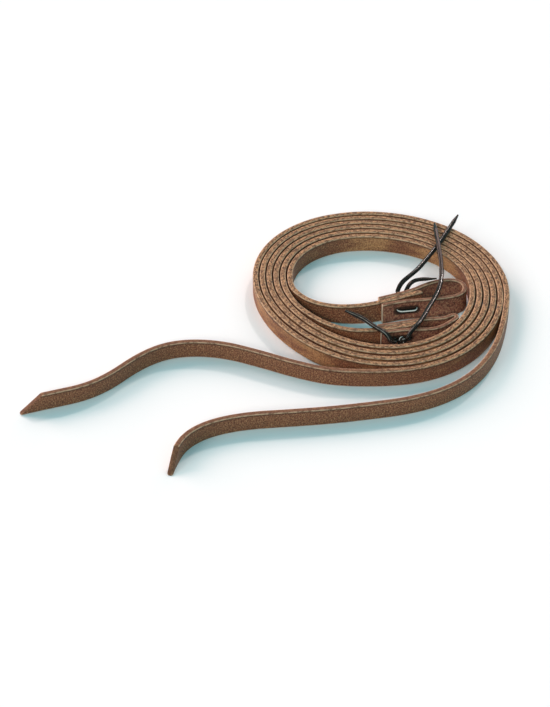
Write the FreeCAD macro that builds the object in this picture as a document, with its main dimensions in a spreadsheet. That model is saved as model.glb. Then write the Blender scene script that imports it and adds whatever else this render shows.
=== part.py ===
"""A pair of split reins in heavy harness leather, stored as one nested coil.

Two flat straps stand on edge and are wound together, rein A inside rein B, for three turns.
Each strap has a loose tail with a slanting tip, and ends inside the coil in a bit loop: a folded
strip of leather whose two legs take the strap's end between them, laced through two holes with a
leather tie. The floor is z = 0, and the origin is the middle of the ground that the reins cover.
"""
import FreeCAD, Part
import math
import os
import Sketcher
from FreeCAD import Vector

doc = FreeCAD.newDocument("SplitReins")

# ---------------------------------------------------------------- driving dimensions (mm, degrees)
sheet = doc.addObject("Spreadsheet::Sheet", "Dimensions")
DIMENSIONS = [
    ("strap_width", 16.0, "5/8 inch rein leather, standing on edge"),
    ("strap_thick", 4.8, "heavy harness leather"),
    ("loop_thick", 3.8, "leather of the folded bit loop"),
    ("tip_cut", 18.5, "how far the slanting tip runs along the strap"),
    ("lace_dia", 3.2, "leather tie"),
    ("hole_dia", 3.9, "punched hole for the tie"),
    ("hole_pitch", 16.6, "between the two holes of a stack"),
    ("hole_inset", 9.7, "from the strap's end to the nearer hole"),
    ("punch_reach", 16.0, "the punch passes this far either side of the strap's middle"),
    ("lace_height", 8.0, "height of the holes above the floor"),
    ("knot_long", 9.0, "knot, along the strap"),
    ("knot_high", 8.4, "knot, upright"),
    ("knot_deep", 6.2, "knot, out from the strap"),
    ("point_long", 9.0, "taper at the free end of a tie"),
    ("coil_x", 92.35, "middle of the coil"),
    ("coil_y", 57.24, "middle of the coil"),
    ("coil_mean", 112.8, "middle radius of the coil's first turn"),
    ("coil_wind", 13.3, "how much a rein's radius falls in one turn"),
    ("coil_drift", 0.8, "how far back each turn's middle lies from the last one's"),
    ("coil_oval", 5.0, "the coil is long from back left to front right"),
    ("oval_heading", 124.0, "heading of its long way in the first turn"),
    ("oval_turning", 8.0, "how much that heading changes in one turn"),
    ("coil_lobe", 2.0, "slack that makes the coil slightly three-sided"),
    ("lobe_heading", 31.0, "heading of the first of the three"),
    ("turn_points", 18.0, "route points in one turn of the coil"),
]
for row, (alias, value, note) in enumerate(DIMENSIONS, start=1):
    sheet.set("A%d" % row, alias)
    sheet.set("B%d" % row, repr(value))
    sheet.set("C%d" % row, note)
    sheet.setAlias("B%d" % row, alias)
doc.recompute()


def dim(alias):
    """One driving dimension, read from the sheet."""
    return float(sheet.get(alias))


WIDTH = dim("strap_width")
THICK = dim("strap_thick")
LOOP_THICK = dim("loop_thick")
LACE = dim("lace_dia")
LACE_Z = dim("lace_height")
STEP = 360.0 / dim("turn_points")

# ---------------------------------------------------------------- routes, from the coil's middle
# Hand-laid points in x, y. The straps' coiled turns are worked out by coil_turns.
TAIL_A = [
    (-300.5, -151.7), (-272, -141.7), (-246, -133), (-225.8, -118.3), (-205.4, -95), (-184, -79.3),
    (-160, -74), (-132, -77), (-102, -89), (-70, -104), (-37, -114.5),
]
TAIL_B = [
    (-173.5, -229), (-169, -210), (-160.2, -191.8), (-141, -177.2), (-112, -168.8), (-80, -165.8),
    (-45, -162), (-10, -156), (22, -149.5), (52, -136.5), (77, -115), (95, -84), (105.5, -47),
]
END_A = [(-67.8, -11.7), (-56, -21.5), (-39, -27), (-19, -26.5), (-1, -22), (15, -15.5), (37.2, -6.2)]
END_B = [(-58, -40.5), (-44, -52), (-29, -58.7), (-13, -60.2), (1, -58.2), (15, -55), (33, -50.8)]
LOOP_A = [
    (-0.2, -16), (13, -11.1), (29.4, -4.3), (43, 5.5), (57.5, 10.8), (69.5, 10.4), (76, 1),
    (72, -10.2), (57, -15), (37, -17.7), (17, -20), (2.6, -25.5),
]
LOOP_B = [
    (-2.2, -54), (14, -50.4), (31.9, -45.8), (41, -44.2), (50, -44), (57.5, -42.2), (62.2, -38),
    (65.3, -39), (66, -42.2), (59, -48.9), (54.2, -53.2), (47, -57.3), (37, -58.6), (27, -58.4),
    (16, -59.8), (0.2, -63.2),
]
# The ties' free ends, in x, y, z.
TIE_A_LONG = [
    (16.3, -3, 11.2), (17.6, 0.2, 14.6), (21, 5, 17.3), (27.9, 13.1, 17.9), (34.8, 21.8, 17.9),
    (43, 36, 17.9), (52.5, 53.5, 17.9), (63.5, 77, 17.9), (71.3, 94.6, 18.1),
]
TIE_A_SHORT = [
    (23.4, -1.2, 10.2), (25.2, 1.2, 13.6), (27.6, 3.6, 16.5), (31.6, 6.2, 17.8), (36.4, 7.9, 17.8),
    (42, 8.3, 17.8),
]
TIE_B_LONG = [
    (22, -67.6, 12), (23.8, -65.6, 15.8), (28.2, -60.9, 18.8), (34.6, -50.9, 18.7),
    (42, -32.3, 18.5), (49, -16.5, 18.7), (52.8, -4.5, 19.4), (54.8, 7, 20.3), (55.7, 21, 21.2),
    (55.2, 38.5, 21.8), (54.4, 57, 21.6), (53.8, 70, 20.2), (53.5, 82, 18.7),
]
TIE_B_SHORT = [
    (12.6, -67.6, 8.6), (8.8, -68.8, 11.2), (6.2, -68, 15.2), (2.4, -65.4, 18.1), (-2.4, -61.6, 18.2),
    (-7.6, -55.6, 18.1), (-13, -49, 18.1), (-17.6, -45, 18.1), (-21.6, -42.3, 18.2),
]


def coil_turns(first_angle, last_angle, lag):
    """Route points of one rein's turns, lag being its place in the nest, in turns."""
    points = []
    reach = 1 / math.cos(math.radians(STEP / 2))
    angle = first_angle
    while angle <= last_angle:
        turns = angle / 360 + lag
        heading = math.radians(angle)
        long_way = math.radians(dim("oval_heading") + dim("oval_turning") * turns)
        lobe_way = math.radians(dim("lobe_heading"))
        radius = dim("coil_mean") - dim("coil_wind") * turns
        radius += dim("coil_oval") * math.cos(2 * (heading - long_way))
        radius += dim("coil_lobe") * math.cos(3 * (heading - lobe_way))
        radius *= reach
        back = dim("coil_drift") * turns
        points.append((radius * math.cos(heading), radius * math.sin(heading) + back))
        angle += STEP
    return points


def placed(points):
    """The same points in the part's frame."""
    middle = Vector(dim("coil_x"), dim("coil_y"), 0)
    return [middle + Vector(*point) for point in points]


ROUTE_A = placed(TAIL_A + coil_turns(-80, 900, 0.5) + END_A)
ROUTE_B = placed(TAIL_B + coil_turns(0, 920, 0.0) + END_B)


def rounded(points, name):
    """Straight runs joined by tangent arcs: a list of (start, middle, end, centre) per piece.

    middle and centre are None in a straight run.
    """
    pieces = []
    radii = []
    last = points[0]
    for before, corner, after in zip(points, points[1:], points[2:]):
        into = (corner - before).normalize()
        out = (after - corner).normalize()
        reach = 0.45 * min((corner - before).Length, (after - corner).Length)
        half = into.getAngle(out) / 2
        radius = reach / math.tan(half)
        start = corner - into * reach
        end = corner + out * reach
        inward = (out - into).normalize()
        centre = corner + inward * (radius / math.cos(half))
        middle = centre - inward * radius
        pieces.append((last, None, start, None))
        pieces.append((start, middle, end, centre))
        radii.append(radius)
        last = end
    pieces.append((last, None, points[-1], None))
    print("%s: radii %s" % (name, " ".join("%.0f" % radius for radius in radii)))
    return pieces


def length_of(pieces):
    """Length along a rounded route."""
    total = 0.0
    for start, middle, end, centre in pieces:
        if middle is None:
            total += (end - start).Length
        else:
            total += Part.Arc(start, middle, end).toShape().Length
    return total


def role_plane(body, role):
    """One of a body's own origin planes."""
    return [item for item in body.Origin.OriginFeatures if item.Role == role][0]


def attached_sketch(body, name, role):
    """An empty sketch on one of the body's origin planes."""
    sketch = body.newObject("Sketcher::SketchObject", name)
    sketch.AttachmentSupport = [(role_plane(body, role), "")]
    sketch.MapMode = "FlatFace"
    return sketch


def band_side(pieces, offset):
    """The route's pieces moved sideways by offset, as sketch geometry."""
    up = Vector(0, 0, 1)
    side = []
    for start, middle, end, centre in pieces:
        if middle is None:
            shift = up.cross((end - start).normalize()) * offset
            side.append(Part.LineSegment(start + shift, end + shift))
            continue
        bent = []
        sense = 1 if (middle - start).cross(end - middle).z > 0 else -1
        for point in (start, middle, end):
            inward = (centre - point).normalize()
            bent.append(point + inward * (sense * offset))
        side.append(Part.Arc(bent[0], bent[1], bent[2]))
    return side


def strap_body(name, pieces, thick_alias):
    """A flat strip standing on edge along a route, padded to the strap's width."""
    body = doc.addObject("PartDesign::Body", name)
    half = dim(thick_alias) / 2
    outline = attached_sketch(body, name + "_outline", "XY_Plane")
    left = band_side(pieces, half)
    right = band_side(pieces, -half)
    caps = [
        Part.LineSegment(left[0].StartPoint, right[0].StartPoint),
        Part.LineSegment(left[-1].EndPoint, right[-1].EndPoint),
    ]
    outline.addGeometry(left + right + caps, False)
    pad = body.newObject("PartDesign::Pad", name + "_pad")
    pad.Profile = outline
    pad.setExpression("Length", "Dimensions.strap_width")
    body.Tip = pad
    doc.recompute()
    wanted = length_of(pieces) * dim(thick_alias) * WIDTH
    print("%s: length %.1f, volume %.0f of %.0f" % (name, length_of(pieces), body.Shape.Volume, wanted))
    return body


def cut_tip(body, role, tip):
    """Cuts the tail's end on a slant, so that its lower edge is the longer."""
    overhang = 20.0
    slant = attached_sketch(body, body.Name + "_slant", role)
    corners = [
        Vector(tip, 0, 0),
        Vector(tip + dim("tip_cut"), WIDTH, 0),
        Vector(tip - overhang, WIDTH, 0),
        Vector(tip - overhang, 0, 0),
    ]
    sides = zip(corners, corners[1:] + corners[:1])
    slant.addGeometry([Part.LineSegment(first, second) for first, second in sides], False)
    for side in range(4):
        slant.addConstraint(Sketcher.Constraint("Coincident", side, 2, (side + 1) % 4, 1))
    slant.addConstraint(Sketcher.Constraint("Horizontal", 1))
    slant.addConstraint(Sketcher.Constraint("Vertical", 2))
    slant.addConstraint(Sketcher.Constraint("Horizontal", 3))
    slant.addConstraint(Sketcher.Constraint("PointOnObject", 0, 1, -1))
    slant.addConstraint(Sketcher.Constraint("DistanceX", -1, 1, 0, 1, tip))
    slant.addConstraint(Sketcher.Constraint("DistanceX", 3, 1, 3, 2, overhang))
    run = slant.addConstraint(Sketcher.Constraint("DistanceX", 0, 1, 0, 2, dim("tip_cut")))
    rise = slant.addConstraint(Sketcher.Constraint("DistanceY", 0, 1, 0, 2, WIDTH))
    slant.setExpression("Constraints[%d]" % run, "Dimensions.tip_cut")
    slant.setExpression("Constraints[%d]" % rise, "Dimensions.strap_width")
    before = body.Shape.Volume
    pocket = body.newObject("PartDesign::Pocket", body.Name + "_tip")
    pocket.Profile = slant
    pocket.Type = "ThroughAll"
    pocket.Midplane = True
    body.Tip = pocket
    doc.recompute()
    print("%s: tip takes %.0f off %.0f" % (body.Name, before - body.Shape.Volume, before))


def stack_frame(route):
    """Where a laced stack's first hole crosses the strap's middle, and the stack's directions."""
    along = (route[-1] - route[-2]).normalize()
    outward = Vector(0, 0, 1).cross(along)
    return route[-1] - along * (dim("hole_pitch") + dim("hole_inset")), along, outward


def punched(name, blank, stack):
    """A blank with its two lace holes, as the finished sub-part."""
    origin, along, outward = stack
    tools = []
    for number in (0, 1):
        punch = doc.addObject("Part::Cylinder", "%s_punch_%d" % (name, number + 1))
        punch.setExpression("Radius", "Dimensions.hole_dia / 2")
        punch.setExpression("Height", "2 * Dimensions.punch_reach")
        at = origin + along * (number * dim("hole_pitch")) + Vector(0, 0, LACE_Z)
        at -= outward * dim("punch_reach")
        punch.Placement = FreeCAD.Placement(at, FreeCAD.Rotation(Vector(0, 0, 1), outward))
        tools.append(punch)
    punches = doc.addObject("Part::MultiFuse", name + "_punches")
    punches.Shapes = tools
    cut = doc.addObject("Part::Cut", name)
    cut.Base = blank
    cut.Tool = punches
    return cut


def tube(points, name):
    """A tie's free end: a round tube that starts in a ball and ends in a point."""
    radius = LACE / 2
    pieces = rounded(points, name)
    edges = []
    for start, middle, end, centre in pieces:
        if middle is None:
            edges.append(Part.LineSegment(start, end).toShape())
        else:
            edges.append(Part.Arc(start, middle, end).toShape())
    path = Part.Wire(edges)
    heading = (points[1] - points[0]).normalize()
    profile = Part.Wire([Part.makeCircle(radius, points[0], heading)])
    shape = path.makePipeShell([profile], True, False)
    shape = shape.fuse(Part.makeSphere(radius, points[0]))
    onward = (points[-1] - points[-2]).normalize()
    shape = shape.fuse(Part.makeCone(radius, radius / 4, dim("point_long"), points[-1], onward))
    shape = shape.removeSplitter()
    wanted = math.pi * radius ** 2 * length_of(pieces)
    print("%s: length %.1f, volume %.0f, bare tube %.0f" % (name, length_of(pieces), shape.Volume, wanted))
    return shape


def feature(name, shape):
    """A sub-part whose shape is worked out above."""
    item = doc.addObject("Part::Feature", name)
    item.Shape = shape
    return item


def knotted_lace(stack, knot_side, knot_depths, far_depths, ends):
    """The stitch through the two holes, and the knot that ties it off, as one piece.

    knot_side is 1 where the knot sits behind the stack, -1 where it sits before it. The depths
    are how far the stitch lies from the strap's middle at each hole, on the knot's side and on
    the far side. The ends that leave the knot are let into it.
    """
    origin, along, outward = stack
    up = Vector(0, 0, LACE_Z)
    pitch = dim("hole_pitch")
    middle = pitch / 2

    def at(run, depth):
        return origin + along * run + outward * (depth * knot_side) + up

    knot_depth = sum(knot_depths) / 2
    far_depth = sum(far_depths) / 2
    middle_of_knot = at(middle, knot_depth)
    middle_of_stitch = at(middle, -far_depth)
    first = [middle_of_knot, at(0, knot_depths[0]), at(0, -far_depths[0]), middle_of_stitch]
    second = [middle_of_stitch, at(pitch, -far_depths[1]), at(pitch, knot_depths[1]), middle_of_knot]
    knot = Part.makeSphere(0.5)
    sizes = FreeCAD.Matrix()
    sizes.scale(dim("knot_long"), dim("knot_deep"), dim("knot_high"))
    knot = knot.transformGeometry(sizes)
    turn = math.degrees(math.atan2(along.y, along.x))
    seat = at(middle, knot_depth + (dim("knot_deep") - LACE) / 2)
    knot.Placement = FreeCAD.Placement(seat, FreeCAD.Rotation(Vector(0, 0, 1), turn))
    lace = bent_tube(first).fuse([bent_tube(second), knot]).removeSplitter()
    for end in ends:
        lace = lace.cut(end)
    return lace


def bent_tube(route):
    """A lace-thick tube round the two corners of a route."""
    bend = LACE * 0.75
    edges = []
    last = route[0]
    for before, corner, after in zip(route, route[1:], route[2:]):
        into = (corner - before).normalize()
        out = (after - corner).normalize()
        half = into.getAngle(out) / 2
        inward = (out - into).normalize()
        centre = corner + inward * (bend / math.cos(half))
        start = corner - into * (bend * math.tan(half))
        end = corner + out * (bend * math.tan(half))
        edges.append(Part.LineSegment(last, start).toShape())
        edges.append(Part.Arc(start, centre - inward * bend, end).toShape())
        last = end
    edges.append(Part.LineSegment(last, route[-1]).toShape())
    heading = (route[1] - route[0]).normalize()
    profile = Part.Wire([Part.makeCircle(LACE / 2, route[0], heading)])
    return Part.Wire(edges).makePipeShell([profile], True, False)


# ---------------------------------------------------------------- the two reins
STACK_A = stack_frame(ROUTE_A)
STACK_B = stack_frame(ROUTE_B)

strap_a = strap_body("rein_a_strap_blank", rounded(ROUTE_A, "rein_a_strap"), "strap_thick")
cut_tip(strap_a, "XZ_Plane", ROUTE_A[0].x + THICK / 2)
strap_b = strap_body("rein_b_strap_blank", rounded(ROUTE_B, "rein_b_strap"), "strap_thick")
cut_tip(strap_b, "YZ_Plane", ROUTE_B[0].y + THICK / 2)
loop_a = strap_body("rein_a_bit_loop_blank", rounded(placed(LOOP_A), "rein_a_bit_loop"), "loop_thick")
loop_b = strap_body("rein_b_bit_loop_blank", rounded(placed(LOOP_B), "rein_b_bit_loop"), "loop_thick")

long_a = tube(placed(TIE_A_LONG), "rein_a_tie_long_end")
short_a = tube(placed(TIE_A_SHORT), "rein_a_tie_short_end")
long_b = tube(placed(TIE_B_LONG), "rein_b_tie_long_end")
short_b = tube(placed(TIE_B_SHORT), "rein_b_tie_short_end")

SUB_PARTS = [
    punched("rein_a_strap", strap_a, STACK_A),
    punched("rein_a_bit_loop", loop_a, STACK_A),
    feature("rein_a_tie", knotted_lace(STACK_A, 1, (8.7, 9.1), (8.7, 13.0), (long_a, short_a))),
    feature("rein_a_tie_long_end", long_a),
    feature("rein_a_tie_short_end", short_a),
    punched("rein_b_strap", strap_b, STACK_B),
    punched("rein_b_bit_loop", loop_b, STACK_B),
    feature("rein_b_tie", knotted_lace(STACK_B, -1, (8.7, 9.8), (8.7, 9.0), (short_b,))),
    feature("rein_b_tie_long_end", long_b),
    feature("rein_b_tie_short_end", short_b),
]

# ---------------------------------------------------------------- checks, then the STEP files
doc.recompute()
for item in doc.Objects:
    if "Invalid" in item.State or "Error" in item.State:
        raise RuntimeError("%s failed: %s" % (item.Name, item.State))
for item in SUB_PARTS:
    item.Label = item.Name
    print(item.Label, item.Shape.isValid(), len(item.Shape.Solids), round(item.Shape.Volume))
for item in SUB_PARTS:
    if item.Shape.isNull() or not item.Shape.isValid() or len(item.Shape.Solids) != 1:
        raise RuntimeError("%s has no single valid solid" % item.Label)

reach = FreeCAD.BoundBox()
for item in SUB_PARTS:
    reach.add(item.Shape.BoundBox)
print("box: %s" % reach)

os.makedirs("parts", exist_ok=True)
for item in SUB_PARTS:
    item.Shape.exportStep("parts/%s.step" % item.Label)
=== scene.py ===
"""Looks for a pair of leather split reins that stand on edge in one nested coil.

Each strap, bit loop and tie is swept along a NURBS route, with the route points that the frame's
solids were made from. Lengths in the route lists and in the sizes are millimetres, turned to metres
by MM.
"""
import math

import bpy
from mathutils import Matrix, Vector, noise


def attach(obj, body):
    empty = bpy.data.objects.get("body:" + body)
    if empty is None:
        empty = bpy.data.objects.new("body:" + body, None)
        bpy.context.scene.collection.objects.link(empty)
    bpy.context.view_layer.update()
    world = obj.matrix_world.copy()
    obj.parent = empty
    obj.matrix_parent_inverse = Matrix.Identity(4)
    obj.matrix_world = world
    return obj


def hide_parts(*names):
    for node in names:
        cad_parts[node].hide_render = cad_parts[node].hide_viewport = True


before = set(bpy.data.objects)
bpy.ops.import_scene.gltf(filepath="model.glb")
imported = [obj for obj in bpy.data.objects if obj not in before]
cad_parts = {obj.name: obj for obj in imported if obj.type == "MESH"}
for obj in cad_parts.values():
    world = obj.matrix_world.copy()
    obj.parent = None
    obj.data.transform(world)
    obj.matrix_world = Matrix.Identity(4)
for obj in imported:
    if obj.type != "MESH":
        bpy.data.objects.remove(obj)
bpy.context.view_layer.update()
MM = 0.001
UP = Vector((0, 0, 1))

# ---------------------------------------------------------------- sizes (mm, degrees)
WIDTH = 16.0
THICK = 4.8
LOOP_THICK = 3.8
TIP_CUT = 19.6
TIP_SET_BACK = 2.4
LACE = 3.2
LACE_Z = 8.0
HOLE_PITCH = 16.6
HOLE_INSET = 9.7
POINT_LONG = 9.0
KNOT_LONG = 9.0
KNOT_HIGH = 8.4
KNOT_DEEP = 6.2
FOOT_REACH = 5.2        # how far the first rein's bit end leans out at the ground
FOOT_HIGH = 14.0        # and the height where that lean starts
FOOT_STARTS = -72.0     # the lean grows between these two, east of the coil's middle
FOOT_FULL = 4.0
COIL_MIDDLE = Vector((92.35, 57.24, 0))
COIL_MEAN = 112.8
COIL_WIND = 13.3
COIL_DRIFT = 0.8
COIL_OVAL = 5.0
OVAL_HEADING = 124.0
OVAL_TURNING = 8.0
COIL_LOBE = 2.0
LOBE_HEADING = 31.0
STEP = 20.0

# ---------------------------------------------------------------- runs along the pieces (m)
STRAP_RING = 0.0022
LACE_RING = 0.0011
END_RING = 0.0004
BLUNT_END = 0.0012
SHEAR_REACH = 0.06      # from a slanted tip to the first upright ring
BIT_END_RUN = 0.13      # the part of a strap that leans with its bit loop
LACED_RUN = 0.05        # the part of a strap that the painted shade and stain round the lacing can reach
LACE_GRAIN = 0.0016     # radius of the round pattern of a lace's grain

# ---------------------------------------------------------------- counts, shares and rawness
LACE_SIDES = 16
KNOT_POINTS = 24
CAP_PINCH = 0.86        # a strip's last ring, to its full thickness
CAP_SINK = 0.985        # and to its full height
RAW_EDGE = 1.0
CUT_END = 1.8           # a bit loop's cut ends, paler than its raw edges

# ---------------------------------------------------------------- colours
PORE_DARK = (0.045, 0.018, 0.012, 1)
# painted shade for the gaps between the coil's layers
PAINTED_GAP_SHADE = (0.04, 0.017, 0.011, 1)
OILED_EDGE = (0.15, 0.053, 0.028, 1)
FRESH_CUT = (0.80, 0.58, 0.42, 1)
# a pale line on the strap corners: partly edge wear, partly a painted highlight
CORNER_WEAR_HIGHLIGHT = (0.78, 0.50, 0.32, 1)
# painted shade round the laced holes, also standing for a wax stain
LACE_SHADE_AND_STAIN = (0.02, 0.011, 0.008, 1)
LACE_BLACK = (0.006, 0.004, 0.003, 1)
LACE_BROWN = (0.03, 0.02, 0.015, 1)
# a painted highlight on the laces, partly wax rubbing
LACE_HIGHLIGHT_RUB = (0.95, 0.86, 0.78, 1)
GROUND = (0.87, 0.86, 0.86, 1)
AMBIENT = (0.12, 0.43, 0.49, 1)
BACKDROP = (0.94, 0.95, 0.95, 1)
KEY_COLOUR = (1, 0.63, 0.57)
FILL_COLOUR = (1, 0.92, 0.86)
RIM_COLOUR = (1, 0.92, 0.88)

# ---------------------------------------------------------------- routes, from the coil's middle (mm)
TAIL_A = [
    (-300.5, -151.7), (-272, -141.7), (-246, -133), (-225.8, -118.3), (-205.4, -95), (-184, -79.3),
    (-160, -74), (-132, -77), (-102, -89), (-70, -104), (-37, -114.5),
]
TAIL_B = [
    (-173.5, -229), (-169, -210), (-160.2, -191.8), (-141, -177.2), (-112, -168.8), (-80, -165.8),
    (-45, -162), (-10, -156), (22, -149.5), (52, -136.5), (77, -115), (95, -84), (105.5, -47),
]
END_A = [(-67.8, -11.7), (-56, -21.5), (-39, -27), (-19, -26.5), (-1, -22), (15, -15.5), (37.2, -6.2)]
END_B = [(-58, -40.5), (-44, -52), (-29, -58.7), (-13, -60.2), (1, -58.2), (15, -55), (33, -50.8)]
LOOP_A = [
    (-0.2, -16), (13, -11.1), (29.4, -4.3), (43, 5.5), (57.5, 10.8), (69.5, 10.4), (76, 1),
    (72, -10.2), (57, -15), (37, -17.7), (17, -20), (2.6, -25.5),
]
LOOP_B = [
    (-2.2, -54), (14, -50.4), (31.9, -45.8), (41, -44.2), (50, -44), (57.5, -42.2), (62.2, -38),
    (65.3, -39), (66, -42.2), (59, -48.9), (54.2, -53.2), (47, -57.3), (37, -58.6), (27, -58.4),
    (16, -59.8), (0.2, -63.2),
]
TIE_A_LONG = [
    (16.3, -3, 11.2), (17.6, 0.2, 14.6), (21, 5, 17.3), (27.9, 13.1, 17.9), (34.8, 21.8, 17.9),
    (43, 36, 17.9), (52.5, 53.5, 17.9), (63.5, 77, 17.9), (71.3, 94.6, 18.1),
]
TIE_A_SHORT = [
    (23.4, -1.2, 10.2), (25.2, 1.2, 13.6), (27.6, 3.6, 16.5), (31.6, 6.2, 17.8), (36.4, 7.9, 17.8),
    (42, 8.3, 17.8),
]
TIE_B_LONG = [
    (22, -67.6, 12), (23.8, -65.6, 15.8), (28.2, -60.9, 18.8), (34.6, -50.9, 18.7),
    (42, -32.3, 18.5), (49, -16.5, 18.7), (52.8, -4.5, 19.4), (54.8, 7, 20.3), (55.7, 21, 21.2),
    (55.2, 38.5, 21.8), (54.4, 57, 21.6), (53.8, 70, 20.2), (53.5, 82, 18.7),
]
TIE_B_SHORT = [
    (12.6, -67.6, 8.6), (8.8, -68.8, 11.2), (6.2, -68, 15.2), (2.4, -65.4, 18.1), (-2.4, -61.6, 18.2),
    (-7.6, -55.6, 18.1), (-13, -49, 18.1), (-17.6, -45, 18.1), (-21.6, -42.3, 18.2),
]


def coil_turns(first_angle, last_angle, lag):
    """Route points of one rein's turns, lag being its place in the nest, in turns."""
    points = []
    angle = first_angle
    while angle <= last_angle:
        turns = angle / 360 + lag
        heading = math.radians(angle)
        long_way = math.radians(OVAL_HEADING + OVAL_TURNING * turns)
        radius = COIL_MEAN - COIL_WIND * turns
        radius += COIL_OVAL * math.cos(2 * (heading - long_way))
        radius += COIL_LOBE * math.cos(3 * (heading - math.radians(LOBE_HEADING)))
        radius /= math.cos(math.radians(STEP / 2))
        points.append((radius * math.cos(heading), radius * math.sin(heading) + COIL_DRIFT * turns))
        angle += STEP
    return points


def placed(points):
    """The points in the row's frame, in metres."""
    return [(COIL_MIDDLE + Vector((*point, 0)[:3])) * MM for point in points]


# ---------------------------------------------------------------- camera
EYE_DISTANCE = 2.0
EYE_HEIGHT = math.radians(39)
look_at = (COIL_MIDDLE + Vector((-89.3, -82.2, 8))) * MM
camera_data = bpy.data.cameras.new("camera")
camera_data.sensor_fit = "HORIZONTAL"
camera_data.sensor_width = 36
camera_data.lens = 155.85
camera = bpy.data.objects.new("camera", camera_data)
camera.location = look_at + EYE_DISTANCE * Vector((0, -math.cos(EYE_HEIGHT), math.sin(EYE_HEIGHT)))
camera.rotation_euler = (math.radians(90) - EYE_HEIGHT, 0, 0)
bpy.context.collection.objects.link(camera)
bpy.context.scene.camera = camera


# ---------------------------------------------------------------- routes as smooth lines
class Line:
    """A smooth line through the bends of a route, read from a NURBS spline."""

    def __init__(self, points, cyclic=False):
        curve = bpy.data.curves.new("route", "CURVE")
        curve.dimensions = "3D"
        curve.resolution_u = 12
        spline = curve.splines.new("NURBS")
        spline.points.add(len(points) - 1)
        for knot, point in zip(spline.points, points):
            knot.co = (*point, 1)
        spline.order_u = 3
        spline.use_endpoint_u = not cyclic
        spline.use_cyclic_u = cyclic
        holder = bpy.data.objects.new("route", curve)
        mesh = bpy.data.meshes.new_from_object(holder)
        self.points = [vertex.co.copy() for vertex in mesh.vertices]
        bpy.data.objects.remove(holder)
        bpy.data.curves.remove(curve)
        bpy.data.meshes.remove(mesh)
        self.runs = [0.0]
        for last, point in zip(self.points, self.points[1:]):
            self.runs.append(self.runs[-1] + (point - last).length)
        self.length = self.runs[-1]

    def at(self, run):
        """The point at a run along the line, and the line's direction there."""
        low, high = 0, len(self.runs) - 2
        while low < high:
            middle = (low + high + 1) // 2
            if self.runs[middle] <= run:
                low = middle
            else:
                high = middle - 1
        span = max(self.runs[low + 1] - self.runs[low], 1e-9)
        share = (run - self.runs[low]) / span
        point = self.points[low].lerp(self.points[low + 1], share)
        before = self.points[max(low - 1, 0)]
        here, there = self.points[low], self.points[low + 1]
        after = self.points[min(low + 2, len(self.points) - 1)]
        return point, (here - before + there - here).lerp(after - here, share).normalized()


def foot_forward(point):
    """Where a point of the first rein's bit end goes, as the standing leather slumps at its foot."""
    east = min(max((point.x / MM - COIL_MIDDLE.x - FOOT_STARTS) / (FOOT_FULL - FOOT_STARTS), 0.0), 1.0)
    low = max(1 - point.z / (FOOT_HIGH * MM), 0.0)
    return point - Vector((0, FOOT_REACH * MM * east * east * (3 - 2 * east) * low * low, 0))


# ---------------------------------------------------------------- mesh making
class Sweep:
    """Collects rings of points into one mesh, with each point's run, height and rawness (on a lace, how
    far it faces its painted highlight).
    """

    def __init__(self):
        self.points = []
        self.faces = []
        self.place = []
        self.raw = []
        self.lacing = []

    def ring(self, points, place, raw, lacing=()):
        first = len(self.points)
        self.points += points
        self.place += place
        self.raw += raw
        self.lacing += lacing
        return range(first, first + len(points))

    def skin(self, rings, closed=False, caps=True):
        pairs = list(zip(rings, rings[1:]))
        if closed:
            pairs.append((rings[-1], rings[0]))
        for one, two in pairs:
            count = len(one)
            for i in range(count):
                j = (i + 1) % count
                self.faces.append((one[i], one[j], two[j], two[i]))
        if caps and not closed:
            self.faces.append(tuple(reversed(rings[0])))
            self.faces.append(tuple(rings[-1]))

    def piece(self, name, node, body, slot, material):
        mesh = bpy.data.meshes.new(name)
        mesh.from_pydata(self.points, [], self.faces)
        place = mesh.attributes.new("place", "FLOAT_VECTOR", "POINT")
        place.data.foreach_set("vector", [value for point in self.place for value in point])
        raw = mesh.attributes.new("raw", "FLOAT", "POINT")
        raw.data.foreach_set("value", self.raw)
        if self.lacing:
            lacing = mesh.attributes.new("lacing", "FLOAT", "POINT")
            lacing.data.foreach_set("value", self.lacing)
        mesh.validate()
        mesh.update()
        mesh.shade_smooth()
        mesh.set_sharp_from_angle(angle=math.radians(48))
        mesh.materials.append(material)
        piece = bpy.data.objects.new(name, mesh)
        bpy.context.collection.objects.link(piece)
        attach(piece, body)
        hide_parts(node)
        return piece


def strap_profile(thick):
    """Round a strap's section: (across, up, rawness), in millimetres."""
    bevel = 0.75
    crown = 0.18
    half = thick / 2
    side = []
    edge = []
    for i in range(5):
        across = (half - bevel) * (1 - i / 2)
        edge.append((across, WIDTH - crown * (across / half) ** 2, 1.0))
    for angle, raw in ((67, 0.9), (45, 0.6), (22, 0.25)):
        turn = math.radians(angle)
        side.append((-half + bevel - bevel * math.cos(turn),
                     WIDTH - crown - bevel + bevel * math.sin(turn), raw))
    for i in range(9):
        up = WIDTH - crown - bevel - (WIDTH - 2 * crown - 2 * bevel) * i / 8
        side.append((-half, up, 0.0))
    for angle, raw in ((22, 0.25), (45, 0.6), (67, 0.9)):
        turn = math.radians(angle)
        side.append((-half + bevel - bevel * math.cos(turn),
                     crown + bevel - bevel * math.sin(turn), raw))
    top_and_left = edge + side
    return top_and_left + [(-across, WIDTH - up, raw) for across, up, raw in top_and_left]


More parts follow.
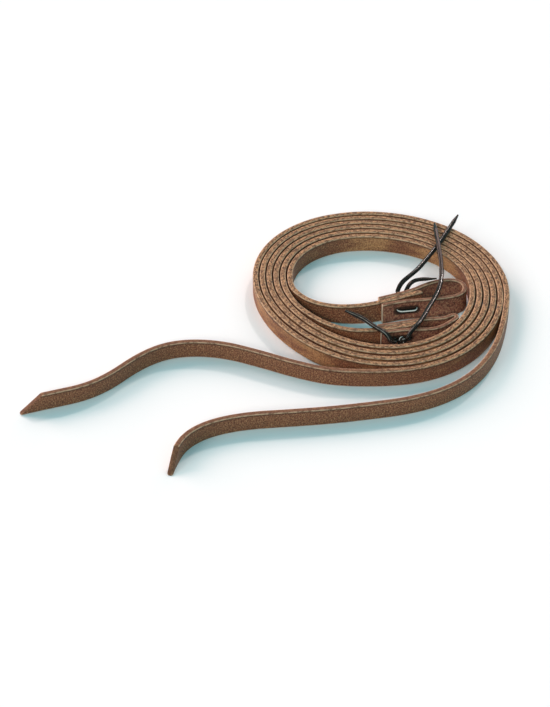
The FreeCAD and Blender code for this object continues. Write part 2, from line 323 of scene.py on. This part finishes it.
def strap(name, node, body, points, thick, slot, material, stack, tip=0.0, seed=0.0):
    """A flat strip of leather standing on edge along a route."""
    line = Line(placed(points))
    profile = strap_profile(thick)
    first_hole, lacing_way, _ = stack
    made = Sweep()
    rings = []
    runs = []
    run = 0.0
    while run < line.length:
        runs.append(run)
        run += STRAP_RING
    runs[-1:] = [line.length - END_RING, line.length]
    runs.insert(1, END_RING)
    for number, run in enumerate(runs):
        points_here = []
        place = []
        raws = []
        lacing = []
        cap = number in (0, len(runs) - 1)
        cap_raw = RAW_EDGE if tip else CUT_END
        slumps = body == "rein_a" and (not tip or run > line.length - BIT_END_RUN)
        near = not tip or run > line.length - LACED_RUN
        for across, up, raw in profile:
            moved = run
            if tip and run < SHEAR_REACH:
                start = (TIP_SET_BACK + tip * up / WIDTH) * MM
                moved = start + run * (SHEAR_REACH - start) / SHEAR_REACH
            here, along = line.at(moved)
            left = UP.cross(along).normalized()
            wave = noise.noise(Vector((moved * 60, seed, 3.1))) * 0.12
            swell = noise.noise(Vector((moved * 25, seed, across))) * 0.06
            pinch = CAP_PINCH if cap else 1.0
            level = WIDTH / 2 + (up - WIDTH / 2) * (CAP_SINK if cap else 1.0) * (1 + wave / WIDTH)
            level = min(max(level, 0.0), WIDTH)
            point = here + left * ((across * pinch + swell * across / thick) * MM) + UP * (level * MM)
            points_here.append(foot_forward(point) if slumps else point)
            place.append((moved, across * MM, up * MM))
            raws.append(cap_raw if cap else raw)
            lacing.append((here - first_hole * MM).dot(lacing_way) if near else 1.0)
        rings.append(made.ring(points_here, place, raws, lacing))
    made.skin(rings)
    piece = made.piece(name, node, body, slot, material)
    return piece, line


def lace_ring(here, along, side, size, twist, width, depth):
    """A ring of a rounded, slightly flat lace."""
    up = along.cross(side).normalized()
    ring = []
    for i in range(LACE_SIDES):
        turn = math.tau * i / LACE_SIDES
        a = math.copysign(abs(math.cos(turn)) ** 0.8, math.cos(turn)) * width / 2 * size
        b = math.copysign(abs(math.sin(turn)) ** 0.8, math.sin(turn)) * depth / 2 * size
        p = a * math.cos(twist) - b * math.sin(twist)
        q = a * math.sin(twist) + b * math.cos(twist)
        ring.append(here + (side * p + up * q) * MM)
    return ring


def lace(made, line, width, depth, cyclic=False, point_long=0.0, tip=1.0, twist=0.0, winding=0.0,
         highlight_way=UP, highlight_cut=0.0):
    """A lace along a line, added to a sweep; raw is how far its skin faces the side with the painted
    highlight, partly wax rubbing.
    """
    count = max(int(line.length / LACE_RING), 8)
    side = None
    rings = []
    for i in range(count + (0 if cyclic else 1)):
        run = line.length * i / count
        here, along = line.at(run)
        if side is None:
            side = along.cross(UP).normalized()
        side = (side - along * side.dot(along)).normalized()
        size = 1.0
        if point_long and run > line.length - point_long:
            size = tip + (1 - tip) * (line.length - run) / point_long
        if not cyclic and run < BLUNT_END:
            size *= 0.62 + 0.38 * run / BLUNT_END
        wobble = 1 + 0.05 * noise.noise(Vector((run * 90, twist, 1.7)))
        turn = twist + winding * run
        ring = lace_ring(here, along, side, size * wobble, turn, width, depth)
        angles = [math.tau * k / LACE_SIDES for k in range(LACE_SIDES)]
        place = [(run, math.cos(angle) * LACE_GRAIN, math.sin(angle) * LACE_GRAIN) for angle in angles]
        # the pale line is a painted highlight, partly wax rubbing, on the side facing the given way; it
        # narrows past 60 mm along a free end
        highlight_drop = highlight_cut + 0.1 * min(max((run - 0.06) / 0.03, 0.0), 1.0) * (not cyclic)
        facing = (highlight_way - along * highlight_way.dot(along)).normalized()
        lit_and_rubbed = [(point - here).normalized().dot(facing) - highlight_drop for point in ring]
        rings.append(made.ring(ring, place, lit_and_rubbed))
    made.skin(rings, closed=cyclic)


# ---------------------------------------------------------------- materials
def nodes_of(name):
    material = bpy.data.materials.new(name)
    material.use_nodes = True
    tree = material.node_tree
    shader = tree.nodes["Principled BSDF"]
    return material, tree, shader


class Shades:
    """Short forms for the shader nodes of one material."""

    def __init__(self, name):
        self.material, self.tree, self.shader = nodes_of(name)

    def node(self, kind, *inputs, **settings):
        node = self.tree.nodes.new(kind)
        for key, value in settings.items():
            setattr(node, key, value)
        for socket, value in zip(node.inputs, inputs):
            self.feed(value, socket)
        return node

    def feed(self, value, socket):
        if isinstance(value, bpy.types.NodeSocket):
            self.tree.links.new(value, socket)
        elif value is not None:
            socket.default_value = value

    def named(self, name, output):
        return self.node("ShaderNodeAttribute", attribute_name=name).outputs[output]

    def math(self, operation, one, two=None):
        return self.node("ShaderNodeMath", one, two, operation=operation).outputs[0]

    def times(self, one, two):
        return self.math("MULTIPLY", one, two)

    def less(self, one, two):
        return self.math("SUBTRACT", one, two)

    def stretched(self, vector, factors):
        return self.node("ShaderNodeVectorMath", vector, factors, operation="MULTIPLY").outputs[0]

    def noise(self, vector, scale, detail=3.0, roughness=0.55):
        return self.node("ShaderNodeTexNoise", vector, None, scale, detail, roughness).outputs["Fac"]

    def fade(self, value, low, high, out_low=0.0, out_high=1.0):
        """A smooth step from one value to another."""
        return self.node("ShaderNodeMapRange", value, low, high, out_low, out_high,
                         interpolation_type="SMOOTHSTEP").outputs[0]

    def length(self, one, two):
        """The distance whose two parts are given."""
        both = self.node("ShaderNodeCombineXYZ", one, two).outputs[0]
        return self.node("ShaderNodeVectorMath", both, operation="LENGTH").outputs["Value"]

    def bump(self, relief, strength, distance):
        bump = self.node("ShaderNodeBump", strength, distance)
        self.feed(relief, bump.inputs["Height"])
        self.feed(bump.outputs["Normal"], self.shader.inputs["Normal"])

    def blend(self, share, one, two):
        node = self.node("ShaderNodeMix", data_type="RGBA")
        self.feed(share, node.inputs["Factor"])
        self.feed(one, node.inputs[6])
        self.feed(two, node.inputs[7])
        return node.outputs[2]


def leather(name, thick, red, tan, raw_dark, raw_light, roughness):
    """Oiled harness leather: clouded, grained faces, fibrous raw edges and corners paled by wear and a
    painted highlight.

    The faces carry painted shade just under their top, for the dark gaps between the coil's layers, and
    are browner where a hand holds the strap; painted shade round the laced holes also stands for a wax
    stain.
    """
    mat = Shades(name)
    place = mat.named("place", "Vector")
    raw = mat.named("raw", "Fac")
    axes = mat.node("ShaderNodeSeparateXYZ", place)
    run, side, up = axes.outputs
    handled = mat.math("ADD", mat.fade(run, 0.5, 0.3), mat.fade(run, 1.75, 1.9))
    cloudy = mat.noise(mat.stretched(place, (0.35, 1, 1)), 75.0, 4.0)
    blotch = mat.noise(mat.stretched(place, (0.6, 1, 1)), 430.0, 4.0, 0.65)
    grain = mat.noise(place, 800.0, 4.0, 0.75)
    fibre = mat.noise(mat.stretched(place, (0.5, 1, 1)), 760.0, 5.0, 0.8)
    pores = mat.node("ShaderNodeTexVoronoi", place, None, 950.0).outputs["Distance"]

    golden = mat.less(mat.fade(cloudy, 0.36, 0.62), mat.times(handled, 0.85))
    face = mat.blend(mat.fade(golden, 0.0, 1.0), (*red, 1), (*tan, 1))
    face = mat.blend(mat.fade(blotch, 0.4, 0.62, 0.0, 0.45), face, (*red, 1))
    speck = mat.math("ADD", mat.times(handled, 0.25), 0.45)
    face = mat.blend(mat.times(mat.fade(grain, 0.5, 0.62), speck), face, (*raw_light, 1))
    face = mat.blend(mat.times(mat.fade(grain, 0.5, 0.39), 0.75), face, PORE_DARK)
    # painted shade: each face darkened just under its top, for the shade in the gaps between the coil's
    # layers
    below = mat.less(WIDTH * MM, up)
    face = mat.blend(mat.times(mat.fade(below, 0.0028, 0.0012), 0.6), face, PAINTED_GAP_SHADE)

    edge = mat.blend(mat.fade(fibre, 0.4, 0.58), (*raw_dark, 1), (*raw_light, 1))
    edge = mat.blend(mat.fade(blotch, 0.54, 0.4, 0.0, 0.65), edge, (*raw_dark, 1))
    edge = mat.blend(mat.times(mat.fade(run, 0.40, 0.26), 0.72), edge, OILED_EDGE)
    colour = mat.blend(raw, face, edge)
    colour = mat.blend(mat.fade(raw, 1.1, CUT_END, 0.0, 0.8), colour, FRESH_CUT)

    # pale line along the corners: partly edge wear, partly a painted highlight where the back light
    # catches them
    past_face = mat.less(mat.math("ABSOLUTE", side), (thick / 2 - 0.3) * MM)
    past_edge = mat.less(mat.math("ABSOLUTE", mat.less(up, WIDTH / 2 * MM)), (WIDTH / 2 - 0.3) * MM)
    corner = mat.length(past_face, past_edge)
    wear_and_highlight = mat.times(mat.fade(corner, 0.0008, 0.0002), mat.fade(blotch, 0.35, 0.55, 0.1, 0.6))
    colour = mat.blend(wear_and_highlight, colour, CORNER_WEAR_HIGHLIGHT)

    # painted shade round the stack's laced holes, partly also a wax stain
    beside = mat.math("ABSOLUTE", mat.less(mat.named("lacing", "Fac"), HOLE_PITCH / 2 * MM))
    beside = mat.math("MAXIMUM", mat.less(beside, HOLE_PITCH / 2 * MM), 0.0)
    beside = mat.length(beside, mat.less(up, LACE_Z * MM))
    beside = mat.math("ADD", beside, mat.times(blotch, 0.0012))
    colour = mat.blend(mat.fade(beside, 0.0048, 0.0032, 0.0, 0.85), colour, LACE_SHADE_AND_STAIN)
    mat.feed(colour, mat.shader.inputs["Base Color"])

    rough = mat.fade(grain, 0.3, 0.7, roughness - 0.08, roughness + 0.1)
    rough = mat.math("ADD", rough, mat.times(raw, 0.12))
    mat.feed(rough, mat.shader.inputs["Roughness"])
    mat.shader.inputs["Specular IOR Level"].default_value = 0.22
    relief = mat.math("ADD", mat.times(grain, 0.8), mat.times(pores, 0.5))
    rough_edge = mat.math("MINIMUM", raw, 1.0)
    relief = mat.math("ADD", relief, mat.times(mat.times(fibre, rough_edge), 2.2))
    mat.bump(relief, 0.7, 0.0003)
    return mat.material


def waxed_lace(name):
    """Dark waxed lace: near black, with a painted highlight along its ridge, partly wax rubbing, and a
    lengthwise grain.
    """
    mat = Shades(name)
    place = mat.named("place", "Vector")
    grain = mat.noise(mat.stretched(place, (0.25, 1, 1)), 1300.0, 4.0, 0.65)
    highlight_patches = mat.noise(mat.stretched(place, (0.5, 1, 1)), 420.0, 3.0)
    colour = mat.blend(mat.fade(grain, 0.35, 0.65), LACE_BLACK, LACE_BROWN)
    # painted highlight: a pale line along the lace's ridge, partly wax rubbing
    ridge = mat.fade(mat.named("raw", "Fac"), 0.93, 0.99)
    lit_and_rubbed = mat.times(ridge, mat.fade(highlight_patches, 0.3, 0.6, 0.45, 1.0))
    colour = mat.blend(lit_and_rubbed, colour, LACE_HIGHLIGHT_RUB)
    mat.feed(colour, mat.shader.inputs["Base Color"])
    mat.feed(mat.fade(grain, 0.3, 0.7, 0.12, 0.2), mat.shader.inputs["Roughness"])
    mat.shader.inputs["Specular IOR Level"].default_value = 0.16
    mat.bump(grain, 0.35, 0.0002)
    return mat.material


REIN_LEATHER = leather("rein_leather", THICK, (0.215, 0.070, 0.033), (0.50, 0.235, 0.095),
                       (0.058, 0.022, 0.011), (0.53, 0.278, 0.135), 0.52)
LOOP_LEATHER = leather("loop_leather", LOOP_THICK, (0.27, 0.094, 0.06), (0.35, 0.14, 0.09),
                       (0.062, 0.025, 0.014), (0.54, 0.29, 0.15), 0.5)
TIE_LEATHER = waxed_lace("tie_leather")

# ---------------------------------------------------------------- straps and bit loops
ROUTE_A = TAIL_A + coil_turns(-80, 900, 0.5) + END_A
ROUTE_B = TAIL_B + coil_turns(0, 920, 0.0) + END_B
REINS = (
    ("rein_a", ROUTE_A, LOOP_A, 1.0),
    ("rein_b", ROUTE_B, LOOP_B, 7.0),
)


def stack_frame(route):
    """Where a laced stack's first hole crosses the strap's middle, and the stack's directions."""
    last, end = (COIL_MIDDLE + Vector((*point, 0)) for point in route[-2:])
    along = (end - last).normalized()
    return end - along * (HOLE_PITCH + HOLE_INSET), along, UP.cross(along)


for rein, route, loop, seed in REINS:
    stack = stack_frame(route)
    piece, line = strap(rein + "_strap_leather", rein + "_strap", rein, route, THICK,
                        "rein_leather", REIN_LEATHER, stack, tip=TIP_CUT, seed=seed)
    strap(rein + "_loop_leather", rein + "_bit_loop", rein, loop, LOOP_THICK,
          "loop_leather", LOOP_LEATHER, stack, seed=seed + 3)


# ---------------------------------------------------------------- ties
def tie(rein, route, knot_side, knot_depths, far_depths):
    """A stitch through the stack's two holes, with its knot."""
    origin, along, outward = stack_frame(route)

    def at(run, depth, rise=0.0):
        return (origin + along * run + outward * (depth * knot_side) + UP * (LACE_Z + rise)) * MM

    middle = HOLE_PITCH / 2
    knot_depth = sum(knot_depths) / 2
    far_depth = sum(far_depths) / 2
    made = Sweep()
    ring = [
        at(middle, knot_depth), at(0, knot_depths[0]), at(0, 0), at(0, -far_depths[0]),
        at(middle, -far_depth), at(HOLE_PITCH, -far_depths[1]), at(HOLE_PITCH, 0),
        at(HOLE_PITCH, knot_depths[1]),
    ]
    # the side of the stitch that gets the painted highlight
    highlight_side = (UP * 0.55 - outward * knot_side).normalized()
    lace(made, Line(ring, cyclic=True), 3.8, 2.7, cyclic=True, highlight_way=highlight_side)
    seat = knot_depth + (KNOT_DEEP - LACE) / 2
    turns = []
    for i in range(KNOT_POINTS):
        angle = math.tau * i / KNOT_POINTS
        reach = (2 + math.cos(3 * angle)) * (KNOT_LONG - 2.9) / 6
        turns.append(at(middle + reach * math.cos(2 * angle),
                        seat + math.sin(3 * angle) * 1.35,
                        reach * math.sin(2 * angle) * KNOT_HIGH / KNOT_LONG))
    lace(made, Line(turns, cyclic=True), 3.1, 2.7, cyclic=True)
    if rein == "rein_a":
        made.points = [foot_forward(point) for point in made.points]
    made.piece(rein + "_tie_lace", rein + "_tie", rein, "tie_leather", TIE_LEATHER)


tie("rein_a", ROUTE_A, 1, (8.7, 9.1), (8.7, 13.0))
tie("rein_b", ROUTE_B, -1, (8.7, 9.8), (8.7, 9.0))

# node, body, route, twist, winding, (width, depth), tip, highlight cut: how much of the painted
# highlight is taken off
TIE_ENDS = (
    ("rein_a_tie_long_end", "rein_a", TIE_A_LONG, 0.2, 3.0, (4.0, 2.7), 0.36, 0.06),
    ("rein_a_tie_short_end", "rein_a", TIE_A_SHORT, -0.3, 5.0, (4.0, 2.7), 0.36, 0.06),
    ("rein_b_tie_long_end", "rein_b_long_tie", TIE_B_LONG, -0.2, 3.0, (4.0, 2.8), 0.4, 0.04),
    ("rein_b_tie_short_end", "rein_b", TIE_B_SHORT, 0.1, 0.0, (4.8, 3.9), 0.6, 0.04),
)
# the side of the tie ends that gets the painted highlight
highlight_side = Vector((-0.5, -0.45, 0.74)).normalized()
for node, body, route, twist, winding, (width, depth), tip, highlight_cut in TIE_ENDS:
    points = [(COIL_MIDDLE + Vector(point)) * MM for point in route]
    points.append(points[-1] + (points[-1] - points[-2]).normalized() * POINT_LONG * MM)
    line = Line(points)
    made = Sweep()
    lace(made, line, width, depth, point_long=POINT_LONG * MM * 1.2, tip=tip, twist=twist,
         winding=winding, highlight_way=highlight_side, highlight_cut=highlight_cut)
    piece = made.piece(node + "_lace", node, body, "tie_leather", TIE_LEATHER)

# ---------------------------------------------------------------- floor and lights
FLOOR_REACH = 6.0
FLOOR_Z = -0.0002
floor_mesh = bpy.data.meshes.new("floor")
corners = ((-1, -1), (1, -1), (1, 1), (-1, 1))
corners = [(east * FLOOR_REACH, north * FLOOR_REACH, FLOOR_Z) for east, north in corners]
floor_mesh.from_pydata(corners, [], [(0, 1, 2, 3)])
floor = bpy.data.objects.new("floor", floor_mesh)
bpy.context.collection.objects.link(floor)
paper, _, shader = nodes_of("floor_paper")
shader.inputs["Base Color"].default_value = GROUND
shader.inputs["Roughness"].default_value = 0.9
shader.inputs["Specular IOR Level"].default_value = 0.1
floor_mesh.materials.append(paper)


def sky_lamp(name, azimuth, elevation, spread, strength, colour):
    """A broad, even lamp, far off in a direction given in degrees from +X, and up."""
    data = bpy.data.lights.new(name, "SUN")
    data.angle = math.radians(spread)
    data.energy = strength
    data.color = colour
    turn, rise = math.radians(azimuth), math.radians(elevation)
    towards = Vector((math.cos(turn) * math.cos(rise), math.sin(turn) * math.cos(rise), math.sin(rise)))
    light = bpy.data.objects.new(name, data)
    light.location = towards * 3
    light.rotation_euler = towards.to_track_quat("Z", "Y").to_euler()
    bpy.context.collection.objects.link(light)


sky_lamp("key_left", 136, 30, 40, 2.75, KEY_COLOUR)
sky_lamp("key_right", 66, 30, 40, 1.4, KEY_COLOUR)
sky_lamp("fill", 222, 28, 26, 0.92, FILL_COLOUR)
sky_lamp("glint", 262, 33, 5, 0.5, FILL_COLOUR)
sky_lamp("rim", 66, 43, 4, 0.7, RIM_COLOUR)
world = bpy.data.worlds.new("studio")
world.use_nodes = True
sky, link = world.node_tree.nodes, world.node_tree.links.new
ambient = sky["Background"]
ambient.inputs["Color"].default_value = AMBIENT
backdrop = sky.new("ShaderNodeBackground")
backdrop.inputs["Color"].default_value = BACKDROP
either = sky.new("ShaderNodeMixShader")
link(sky.new("ShaderNodeLightPath").outputs["Is Camera Ray"], either.inputs[0])
link(ambient.outputs[0], either.inputs[1])
link(backdrop.outputs[0], either.inputs[2])
link(either.outputs[0], sky["World Output"].inputs["Surface"])
bpy.context.scene.world = world
bpy.context.scene.view_settings.view_transform = "Standard"
